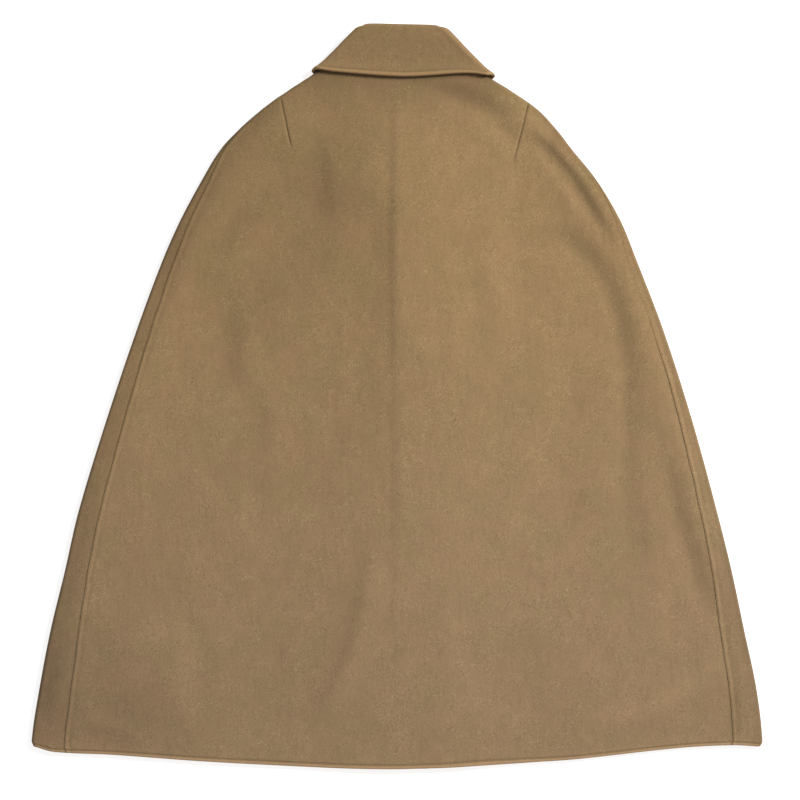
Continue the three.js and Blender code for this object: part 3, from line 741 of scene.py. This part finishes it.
def dart_relief(x, y):
    """A dart's sewn line, the cloth swelling on both sides of it, the dimple past its end, and the painted
    shade along the line.
    """
    relief = 0 * x
    line = 0 * x
    for dart in DARTS:
        place, across, length = from_dart(dart, x, y)
        sewn = smooth(*DART_HEAD, place) * (1 - smooth(length - DART_TAIL, length + dart[-1], place))
        relief -= DART_DEPTH * sewn * bell(across, DART_WIDTH)
        relief += DART_SWELL * sewn * bell(across - DART_SWELL_PLACE, DART_SWELL_PLACE / 2)
        line = np.maximum(line, DART_SHADE * sewn * bell(across, DART_WIDTH))
    return relief, line


def sew_darts(piece):
    """Makes the mesh finer along the darts, then sinks their lines into the outer face and paints shade
    along them.
    """
    solid = bmesh.new()
    solid.from_mesh(piece.data)
    lines = solid.verts.layers.float["groove"]
    for dart in DARTS:
        upper = [face for face in solid.faces if face.normal.z > FACING_UP]
        centres = np.array([face.calc_center_median() for face in upper]) / MM
        place, across, length = from_dart(dart, centres[:, 0], centres[:, 1])
        near = (place > -DART_REACH) & (place < length + dart[-1]) & (across < DART_REACH)
        edges = list({edge for face, chosen in zip(upper, near) if chosen for edge in face.edges})
        bmesh.ops.subdivide_edges(solid, edges=edges, cuts=DART_CUTS, use_grid_fill=True)
    upper = [vert for vert in solid.verts if vert.normal.z > POINTING_UP]
    x = np.array([vert.co.x for vert in upper]) / MM
    y = np.array([vert.co.y for vert in upper]) / MM
    for vert, height, mark in zip(upper, *dart_relief(x, y)):
        vert.co.z += height * MM
        vert[lines] = max(vert[lines], mark)
    solid.to_mesh(piece.data)
    solid.free()


def back_panel():
    """The back, from seam to seam, over the side folds where the seam lies on them."""
    row_y = section_rows(NECK_SEAM_Y - SEAM_GAP)
    steps = np.array(SEAM_STEPS)[None, :]
    strips = {}
    for side in ("left", "right"):
        fold = side_fold(side, row_y)
        places = fold["seam"] + SEAM_GAP / 2 * SEAM_SHOWN * seam_clearness(side, row_y) + steps
        strips[side] = fold_centre(fold, places)
    share = np.linspace(0, 1, BACK_COLUMNS + 1)[None, 1:-1]
    inside = mix(strips["left"]["x"][:, -1:], strips["right"]["x"][:, -1:], share)
    middle = level_centre(inside, back_middle(inside, row_y))
    right = {key: values[:, ::-1] for key, values in strips["right"].items()}
    centre = joined([strips["left"], middle, right])
    columns = centre["x"].shape[1]
    far = np.full(columns - 2 * len(SEAM_STEPS), FAR_FROM_SEAM)
    from_left = np.concatenate([SEAM_STEPS, far, far[: len(SEAM_STEPS)]])[None, :]
    from_right = from_left[:, ::-1]
    x = centre["x"]
    y = bent_y(x, row_y)
    clear = np.where(from_left < from_right, 1, seam_clearness("right", y))
    left_relief = welt(from_left, y) + pucker(from_left, y, PUCKER_SEEDS["left"])
    relief = left_relief + pucker(from_right, y, PUCKER_SEEDS["right"]) * clear
    piece = panel(
        "back_cloth", centre, row_y, np.minimum(from_left, from_right), clear, relief,
        # painted shadow below the collar's edge
        higher=peek(x, row_y), shade=painted_shadow_under_collar(x, y),
    )
    sew_darts(piece)
    return piece


def front_end(side, row_y, neck_edge):
    """Where a front ends across a section: at its opening edge, or above that at the neckline."""
    places, heights = zip(*neck_edge)
    neckline = np.interp(row_y + NECKLINE_EASE, heights, places)
    return np.where(row_y < NECKLINE_FOOT[side] - NECKLINE_STEP / 2, LAP_EDGE[side], neckline)


def front_panel(side, neck_edge):
    """A front, from its seam on the back, round the side fold and under to the opening."""
    foot = NECKLINE_FOOT[side]
    row_y = section_rows(FRONT_TOP_Y, (foot, foot - NECKLINE_STEP))
    fold = side_fold(side, row_y)
    start = fold["seam"] - SEAM_GAP / 2 * SEAM_SHOWN * seam_clearness(side, row_y)
    total = start + fold["quarter"]
    steps = np.array(SEAM_STEPS)[None, :] * np.minimum(1, total / (2 * SEAM_STEPS[-1]))
    share = np.linspace(0, 1, STRIP_COLUMNS + 1)[None, 1:]
    from_seam = np.hstack([steps, mix(steps[:, -1:], total, share)])
    strip = fold_centre(fold, start - from_seam)
    end = front_end(side, row_y, neck_edge)
    edge = np.array(OPENING_STEPS)[None, ::-1]
    share = np.linspace(0, 1, UNDER_COLUMNS + 1)[None, 1:-1]
    last = end + fold["sign"] * edge[:, :1]
    under_x = np.hstack([mix(fold["x"], last, share), end + fold["sign"] * edge])
    under = level_centre(under_x, front_middle(side, under_x, row_y), -1)
    centre = joined([strip, under])
    inside = np.full((1, centre["x"].shape[1] - edge.size), 2 * edge.max())
    from_end = np.hstack([inside, edge])
    from_seam = np.hstack([from_seam, np.full(under_x.shape, FAR_FROM_SEAM)])
    y = bent_y(centre["x"], row_y)
    clear = seam_clearness(side, y)
    relief = pucker(from_seam, y, PUCKER_SEEDS["front"]) * clear
    if side == "right":
        relief = relief + welt(from_seam, y) * clear
    return panel(
        side + "_front_cloth", centre, row_y, from_seam, clear, relief,
        shown=centre["up"] ** 2, roundness=rounding(from_end, EDGE_ROUND),
    )


# Collar

def collar_stations():
    """The stations, with those on the side folds opened out into their turn. A station's line is its roll
    point and its edge point on the plan, and out is the plan direction away from the cape's side."""
    rows = []
    for *places, neck_y, turn in COLLAR:
        line = np.reshape(places, (2, 2))
        if not isinstance(turn, str):
            rows.append({"line": line, "neck_y": neck_y, "turn": turn, "out": np.zeros(2)})
            continue
        sign = -1 if turn == "left" else 1
        across, up = (line[1] - line[0]) / math.hypot(*(line[1] - line[0]))
        out = sign * np.array([-up, across])
        turned = line - out * (FALL_LEVEL + CLOTH / 2)
        start = np.reshape(COLLAR_STARTS[turn], (2, 2))
        turns = np.linspace(180, 0, COLLAR_TURN_STEPS + 1)
        for angle in turns if sign < 0 else turns[::-1]:
            line = mix(turned, start, max(0.0, 1 - angle / 90))
            rows.append({"line": line, "neck_y": neck_y, "turn": float(angle), "out": out})
    return rows


def eased(rows):
    """The stations with more between them on a smooth curve, other than in a turn."""
    table = [[place, *row["line"].ravel(), row["neck_y"]] for place, row in enumerate(rows)]
    result = []
    for place in range(len(rows) - 1):
        steps = 1 if rows[place]["turn"] != rows[place + 1]["turn"] else COLLAR_STEPS
        for order in np.linspace(place, place + 1, steps + 1)[:-1]:
            *line, neck_y = [float(along(table, order, column)) for column in range(1, len(table[0]))]
            result.append({**rows[place], "line": np.reshape(line, (2, 2)), "neck_y": neck_y})
    return [*result, rows[-1]]


def neck_point(station):
    roll, edge = station["line"]
    share = (roll[1] - station["neck_y"]) / (roll[1] - edge[1])
    return mix(roll[0], edge[0], share), station["neck_y"]


def fall_of(station):
    """The plan direction down a station's fall, and the fall's width."""
    run = station["line"][1] - station["line"][0]
    width = math.hypot(*run)
    return run / width, width


def edge_lift(from_edge):
    return EDGE_LIFT * (1 - float(smooth(*EDGE_LIFT_SPAN, from_edge)))


def collar_path(station):
    """Across one station: up the stand, over the roll line and down the fall to the outer edge."""
    on_back = (1 + math.cos(math.radians(station["turn"]))) / 2
    width = fall_of(station)[1]
    stand = math.hypot(*(neck_point(station) - station["line"][0]))
    roll_radius = (CLOTH + SEAT + ROLL_LOFT * on_back) / 2
    roll_start = roll_radius + CLOTH / 2
    path = []
    for place in np.linspace(stand, roll_start, STAND_STEPS + 1):
        path.append((place, STAND_LEVEL, 0, -1, stand - place))
    for angle in np.linspace(0, math.pi, ROLL_TURN_STEPS + 1)[1:-1]:
        place = roll_start - roll_radius * math.sin(angle)
        level = STAND_LEVEL + roll_radius - roll_radius * math.cos(angle)
        path.append((place, level, -math.sin(angle), -math.cos(angle), width))
    edge = [width - step for step in EDGE_STEPS][::-1]
    falling = np.linspace(roll_start, edge[0] - FALL_END, FALL_STEPS + 1)
    for place in [*falling, *edge]:
        rolling = 1 - smooth(roll_start, ROLL_REACH * width, place)
        level = FALL_LEVEL + (ROLL_LOFT * rolling + edge_lift(width - place)) * on_back
        path.append((place, level, 0, 1, width))
    return path, width, on_back


def collar_point(station, place, level):
    """Where a place down a station's line lies, at a level off the middle of the neck."""
    turn = math.radians(station["turn"])
    flat = station["line"][0] + fall_of(station)[0] * place + station["out"] * level * math.sin(turn)
    return (*flat, (BACK_LEVEL + FRONT_LEVEL) / 2 + level * math.cos(turn))


def collar_rows(station, order):
    """Outer and inner points of one station, with its marks."""
    path, width, on_back = collar_path(station)
    outer = []
    inner = []
    marks = []
    for place, level, out_place, out_level, from_neck in path:
        from_edge = width - place if out_level == 1 else width
        half = CLOTH / 2 * float(rounding(from_edge, EDGE_ROUND) * rounding(from_neck, SEAM_ROUND))
        roll = float(edge_roll(from_edge)) * on_back
        sunk = float(groove(from_edge, COLLAR_GROOVE_PLACE)) * on_back
        wave = sum(
            rise * noise.noise(Vector((order * pace, place / size, seed)))
            for rise, pace, size, seed in COLLAR_WAVES
        )
        high = half + (roll + wave * on_back * max(out_level, 0)) * (half / CLOTH * 2)
        high -= COLLAR_GROOVE_DEPTH * sunk
        outer.append(collar_point(station, place + out_place * high, level + out_level * high))
        inner.append(collar_point(station, place - out_place * half, level - out_level * half))
        turned = max(math.sin(math.radians(station["turn"])), abs(out_place))
        # Marks: painted shade in the groove, a painted highlight on the edge, and painted shade where the
        # collar turns over at the outline
        marks.append((sunk, float(1 - smooth(*COLLAR_HIGHLIGHT_FADE, from_edge)), 1 - PAINTED_SHADE_OUTLINE * turned**3))
    return outer, inner, marks


def collar(stations):
    rows = [collar_rows(station, order) for order, station in enumerate(stations)]
    outer, inner, marks = [np.array(part) for part in zip(*rows)]
    marks = dict(zip(("groove", "edge", "painted_light_and_shade"), np.moveaxis(marks, -1, 0)))
    return cloth_wall("collar_cloth", outer, inner, marks)


def neck_edge_of(stations, side):
    """The collar's neck edge beneath the fronts, from the front end up to the side of the neck."""
    half = [
        station for station in stations
        if station["turn"] == 180 and (station["line"][0, 0] < NECK_X) == (side == "left")
    ]
    return sorted((neck_point(station) for station in half), key=lambda point: point[1])


# Sewing

def stitches(name, points, pitch, length, crossing=False):
    """One mesh of short threads along a line, or across it, each end going down into the cloth."""
    points = np.array(points, float)
    runs = np.linalg.norm(np.diff(points, axis=0), axis=1)
    place = np.concatenate([[0], np.cumsum(runs)])
    up = np.array([0, 0, 1])
    turns = 2 * math.pi * np.arange(STITCH_SIDES)[:, None] / STITCH_SIDES
    rings = []
    for at in np.arange(pitch, place[-1] - pitch, pitch):
        centre = np.array([np.interp(at, place, axis) for axis in points.T])
        ahead = np.array([np.interp(at + 1, place, axis) for axis in points.T])
        along_line = (ahead - centre) / np.linalg.norm(ahead - centre)
        sway = THREAD_SWAY * noise.noise(Vector((at * THREAD_SWAY_PACE, 0, THREAD_SWAY_SEED)))
        beside = np.cross(up, along_line)
        run = beside if crossing else along_line + beside * sway
        off = np.cross(up, run) * np.cos(turns) + up * np.sin(turns)
        for share, rise, girth in THREAD_RINGS:
            heart = centre + run * share * length + up * rise * THREAD_RADIUS
            rings.append(heart + off * THREAD_RADIUS * girth)
    verts = np.concatenate(rings) * MM
    index = np.arange(len(verts)).reshape(-1, len(THREAD_RINGS), STITCH_SIDES)
    after = np.roll(index, -1, axis=2)
    sides = np.stack([index[:, :-1], after[:, :-1], after[:, 1:], index[:, 1:]], axis=-1).reshape(-1, 4)
    caps = np.concatenate([index[:, 0, ::-1], index[:, -1]])
    mesh = bpy.data.meshes.new(name)
    mesh.from_pydata(verts.tolist(), [], [*sides.tolist(), *caps.tolist()])
    face_out(mesh)
    mesh.shade_smooth()
    return placed(name, mesh)


def hem_line():
    """The hem's stitch line over the back panel, a little into its groove."""
    ends = [side_fold(side, np.array([[HEM_SIDE_Y]]))["x"][0, 0] for side in ("left", "right")]
    x = np.linspace(ends[0] + HEM_LINE_ENDS[0], ends[1] - HEM_LINE_ENDS[1], HEM_LINE_POINTS)[None, :]
    row_y = HEM_SIDE_Y + along(HEM_BAND, x)
    rise = CLOTH / 2 + HEM_ROLL_SHARE * edge_roll(HEM_GROOVE_PLACE) - HEM_GROOVE_DEPTH
    points = [x, bent_y(x, row_y) + peek(x, row_y), back_middle(x, row_y) + rise]
    return np.concatenate(points).T


def collar_line(stations):
    """The stitch line above the collar's edge, where the fall lies on the back."""
    level = FALL_LEVEL + CLOTH / 2 - COLLAR_GROOVE_DEPTH + edge_lift(COLLAR_GROOVE_PLACE)
    level += float(edge_roll(COLLAR_GROOVE_PLACE))
    return [
        collar_point(station, fall_of(station)[1] - COLLAR_GROOVE_PLACE, level)
        for station in stations if station["turn"] == 0
    ]


def seam_line(side):
    """A side seam's line, a little below the cloth's face."""
    foot = HEM_SIDE_Y + SEAM_LINE_ENDS[0]
    row_y = np.arange(foot, NECK_SEAM_Y - SEAM_LINE_ENDS[1], SEAM_LINE_STEP)[:, None]
    fold = side_fold(side, row_y)
    centre = fold_centre(fold, fold["seam"])
    depth = CLOTH / 2 - SEAM_ROUND
    x = centre["x"] + centre["out_x"] * depth
    z = centre["z"] + centre["out_z"] * depth
    return np.hstack([x, bent_y(x, row_y), z])


# Materials

def colour(red, green, blue):
    """A colour given as eight-bit screen values, in the renderer's linear light."""
    linear = []
    for value in (red, green, blue):
        share = value / 255
        linear.append(share / 12.92 if share <= 0.04045 else ((share + 0.055) / 1.055) ** 2.4)
    return (*linear, 1)


class Nodes:
    """A short way to add and link a material's nodes."""

    def __init__(self, material):
        material.use_nodes = True
        self.tree = material.node_tree
        self.tree.nodes.clear()

    def add(self, kind, settings=None, **inputs):
        node = self.tree.nodes.new(kind)
        for name, value in (settings or {}).items():
            setattr(node, name, value)
        for name, value in inputs.items():
            self.put(node, name.replace("_", " "), value)
        return node

    def put(self, node, name, value):
        if isinstance(value, bpy.types.NodeSocket):
            self.tree.links.new(value, node.inputs[name])
        else:
            node.inputs[name].default_value = value

    def place(self):
        return self.add("ShaderNodeTexCoord").outputs["Object"]

    def mark(self, name):
        """A value kept per point of the mesh."""
        return self.add("ShaderNodeAttribute", {"attribute_name": name}).outputs["Fac"]

    def speckle(self, where, scale, detail, stretch=1, distortion=0):
        """Noise of one scale, in waves a metre, drawn out along the cape by a stretch under one."""
        mapping = self.add("ShaderNodeMapping", Vector=where, Scale=(1, stretch, 1))
        texture = self.add(
            "ShaderNodeTexNoise", Vector=mapping.outputs["Vector"], Scale=scale, Detail=detail,
            Roughness=NOISE_ROUGHNESS, Distortion=distortion,
        )
        return texture.outputs["Fac"]

    def span(self, value, low, high, to_low=0, to_high=1):
        node = self.add(
            "ShaderNodeMapRange", {"interpolation_type": "SMOOTHSTEP"}, Value=value,
            From_Min=low, From_Max=high, To_Min=to_low, To_Max=to_high,
        )
        return node.outputs["Result"]

    def math(self, operation, first, second):
        node = self.add("ShaderNodeMath", {"operation": operation})
        self.put(node, 0, first)
        self.put(node, 1, second)
        return node.outputs[0]

    def blend(self, first, second, share, kind="MIX"):
        node = self.add("ShaderNodeMix", {"data_type": "RGBA", "blend_type": kind})
        for socket, value in ((0, share), (6, first), (7, second)):
            self.put(node, socket, value)
        return node.outputs[2]

    def finish(self, **inputs):
        """The material's one shader, with its output."""
        shader = self.add("ShaderNodeBsdfPrincipled", **inputs)
        self.add("ShaderNodeOutputMaterial", Surface=shader.outputs["BSDF"])


TAN = colour(149, 121, 90)
OLIVE = colour(137, 118, 83)
ROSY = colour(152, 120, 92)
LIGHT = colour(166, 139, 104)
# Dark brown of the brushed streaks, also laid in the sewn grooves as painted shade
DARK = colour(112, 90, 62)
FLECK_DARK = colour(116, 94, 64)
FLECK_LIGHT = colour(186, 162, 126)
# Painted highlight on the turned edges of the hem and collar, and its share
BAND = colour(184, 150, 112)
EDGE_HIGHLIGHT_SHARE = 0.6
# Share of painted shade in the sewn grooves
GROOVE_SHADE_SHARE = 0.55
PAINTED_WARM_LIGHT = (1, 0.97, 0.8, 1)  # painted warm light: what the tan is multiplied with where it looks warmest, near the shoulders
PAINTED_WARM_LIGHT_RISE = (-0.42, 0.3)  # it grows warmer between these heights, in metres
PAINTED_WARM_LIGHT_SHARE = 0.8
NOISE_ROUGHNESS = 0.55
SHADES = {"back": 1, "left_front": 0.98, "right_front": 0.99, "collar": 0.83}  # how light each wool is

# Noises of the wool: scale, detail, stretch and distortion
NOISES = {
    "patches": (19, 3, 1, 0.4),
    "rosy": (29, 3, 1, 0.3),
    "clouds": (42, 4, 1, 0),
    "brushed": (170, 3, 0.28, 0),
    "strands": (620, 2, 0.35, 0.6),
    "flecks": (480, 1, 1, 0),
    "tufts": (230, 2, 1, 2.4),
    "tufted": (40, 2, 1, 0),
    "fuzz": (1500, 2, 1, 0),
}

# Colours laid over the tan, one after another: the colour, its noise, the span of that noise over which
# it comes or goes, and its shares at the two ends of the span
LAYERS = [
    (OLIVE, "patches", 0.42, 0.62, 0, 0.42),
    (ROSY, "rosy", 0.46, 0.66, 0, 0.32),
    (LIGHT, "clouds", 0.45, 0.75, 0, 0.22),
    (DARK, "brushed", 0.35, 0.8, 0, 0.2),
    (LIGHT, "strands", 0.5, 0.8, 0, 0.35),
    (FLECK_DARK, "flecks", 0.58, 0.72, 0, 0.5),
    (FLECK_LIGHT, "tufts", 0.55, 0.66, 0, 0.34),
    (FLECK_DARK, "tufts", 0.33, 0.44, 0.42, 0),
    (FLECK_LIGHT, "fuzz", 0.6, 0.74, 0, 0.4),
]
TUFTED_SPAN = (0.38, 0.6, 0.2, 1)  # tufts show in some places more than in others
BUMP_SHARES = {"brushed": 0.5, "strands": 0.35, "fuzz": 0.25, "clouds": 0.6}
BUMP_STRENGTH = 0.55
BUMP_DEPTH = 0.0007
WOOL_ROUGHNESS = (0.3, 0.8, 0.86, 0.96)
SHEEN_TINT = colour(214, 196, 168)
THREAD_DARK = colour(126, 102, 72)
THREAD_LIGHT = colour(150, 124, 90)
THREAD_TWIST = (1800, 2, 0.4)
THREAD_SPAN = (0.35, 0.7)


def wool(name):
    """Brushed wool: tan, olive and rosy patches, upright brushed pile, flecks, a painted highlight on the
    turned edges, painted shade in the sewn grooves and over the plan, and painted warm light towards the
    top.
    """
    material = bpy.data.materials.new("wool_" + name)
    nodes = Nodes(material)
    where = nodes.place()
    noises = {kind: nodes.speckle(where, *values) for kind, values in NOISES.items()}
    tufted = nodes.span(noises["tufted"], *TUFTED_SPAN)
    base = TAN
    for tint, kind, *limits in LAYERS:
        share = nodes.span(noises[kind], *limits)
        if kind == "tufts":
            share = nodes.math("MULTIPLY", share, tufted)
        base = nodes.blend(base, tint, share)
    # Painted highlight on the turned edges, painted shade in the sewn grooves, then painted light and
    # shade over the plan on each piece's share of the wool's lightness
    base = nodes.blend(base, BAND, nodes.math("MULTIPLY", nodes.mark("edge"), EDGE_HIGHLIGHT_SHARE))
    base = nodes.blend(base, DARK, nodes.math("MULTIPLY", nodes.mark("groove"), GROOVE_SHADE_SHARE))
    base = nodes.blend(base, nodes.math("MULTIPLY", nodes.mark("painted_light_and_shade"), SHADES[name]), 1, "MULTIPLY")
    # Painted warm light, growing towards the top
    height = nodes.add("ShaderNodeSeparateXYZ", Vector=where).outputs["Y"]
    base = nodes.blend(base, PAINTED_WARM_LIGHT, nodes.span(height, *PAINTED_WARM_LIGHT_RISE, 0, PAINTED_WARM_LIGHT_SHARE), "MULTIPLY")
    relief = 0
    for kind, share in BUMP_SHARES.items():
        relief = nodes.math("ADD", relief, nodes.math("MULTIPLY", noises[kind], share))
    bump = nodes.add("ShaderNodeBump", Strength=BUMP_STRENGTH, Distance=BUMP_DEPTH, Height=relief)
    nodes.finish(
        Base_Color=base, Roughness=nodes.span(noises["clouds"], *WOOL_ROUGHNESS),
        Normal=bump.outputs["Normal"], Specular_IOR_Level=0.2, Sheen_Weight=0.35, Sheen_Roughness=0.5,
        Sheen_Tint=SHEEN_TINT,
    )
    return material


def thread_material():
    """Matt twisted thread, a little darker than the wool."""
    material = bpy.data.materials.new("thread")
    nodes = Nodes(material)
    twist = nodes.speckle(nodes.place(), *THREAD_TWIST)
    base = nodes.blend(THREAD_DARK, THREAD_LIGHT, nodes.span(twist, *THREAD_SPAN))
    bump = nodes.add("ShaderNodeBump", Strength=0.4, Distance=0.0002, Height=twist)
    nodes.finish(Base_Color=base, Roughness=0.8, Normal=bump.outputs["Normal"])
    return material


def floor_material():
    material = bpy.data.materials.new("floor_paint")
    Nodes(material).finish(
        Base_Color=(FLOOR_TINT, FLOOR_TINT, FLOOR_TINT, 1), Roughness=FLOOR_ROUGHNESS,
        Emission_Color=(1, 1, 1, 1), Emission_Strength=FLOOR_GLOW,
    )
    return material


# Stage

def floor():
    corners = [(-1, -1), (1, -1), (1, 1), (-1, 1)]
    mesh = bpy.data.meshes.new("floor")
    points = [(x * FLOOR_HALF, y * FLOOR_HALF, -FLOOR_DROP) for x, y in corners]
    mesh.from_pydata(points, [], [(0, 1, 2, 3)])
    mesh.materials.append(floor_material())
    placed("floor", mesh)


def lights():
    """Soft studio light, strongest from the upper right of the picture and rather low."""
    lamp = bpy.data.lights.new("key", "AREA")
    lamp.shape = "DISK"
    lamp.size = KEY_SIZE
    lamp.energy = KEY_POWER
    key = placed("key", lamp)
    key.location = KEY_PLACE
    key.rotation_euler = (-Vector(KEY_PLACE)).to_track_quat("-Z", "Y").to_euler()
    world = bpy.data.worlds.new("studio")
    world.use_nodes = True
    background = world.node_tree.nodes["Background"]
    background.inputs["Color"].default_value = (1, 1, 1, 1)
    background.inputs["Strength"].default_value = WORLD_STRENGTH
    bpy.context.scene.world = world


def camera():
    data = bpy.data.cameras.new("camera")
    data.sensor_width = SENSOR
    data.lens = SENSOR * CAMERA_PLACE[2] / VIEW_WIDTH
    seen = placed("camera", data)
    seen.location = CAMERA_PLACE
    bpy.context.scene.camera = seen


# The cape

def finish_piece(piece, material, node=None):
    piece.data.materials.append(material)
    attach(piece, "root")
    if node:
        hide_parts(node)


def build():
    camera()
    stations = eased(collar_stations())
    back = back_panel()
    left = front_panel("left", neck_edge_of(stations, "left"))
    right = front_panel("right", neck_edge_of(stations, "right"))
    neck = collar(stations)
    finish_piece(back, wool("back"), "back_panel")
    finish_piece(left, wool("left_front"), "left_front")
    finish_piece(right, wool("right_front"), "right_front")
    finish_piece(neck, wool("collar"), "collar")
    hem_sewing = stitches("hem_stitches", hem_line(), *STITCHES["hem"])
    collar_sewing = stitches("collar_stitches", collar_line(stations), *STITCHES["collar"])
    left_sewing, right_sewing = [
        stitches(side + "_seam_stitches", seam_line(side), *STITCHES["seam"], crossing=True)
        for side in ("left", "right")
    ]
    thread = thread_material()
    for sewing in (hem_sewing, collar_sewing, left_sewing, right_sewing):
        finish_piece(sewing, thread)


build()
floor()
lights()
bpy.context.scene.view_settings.view_transform = "Standard"
bpy.context.view_layer.update()
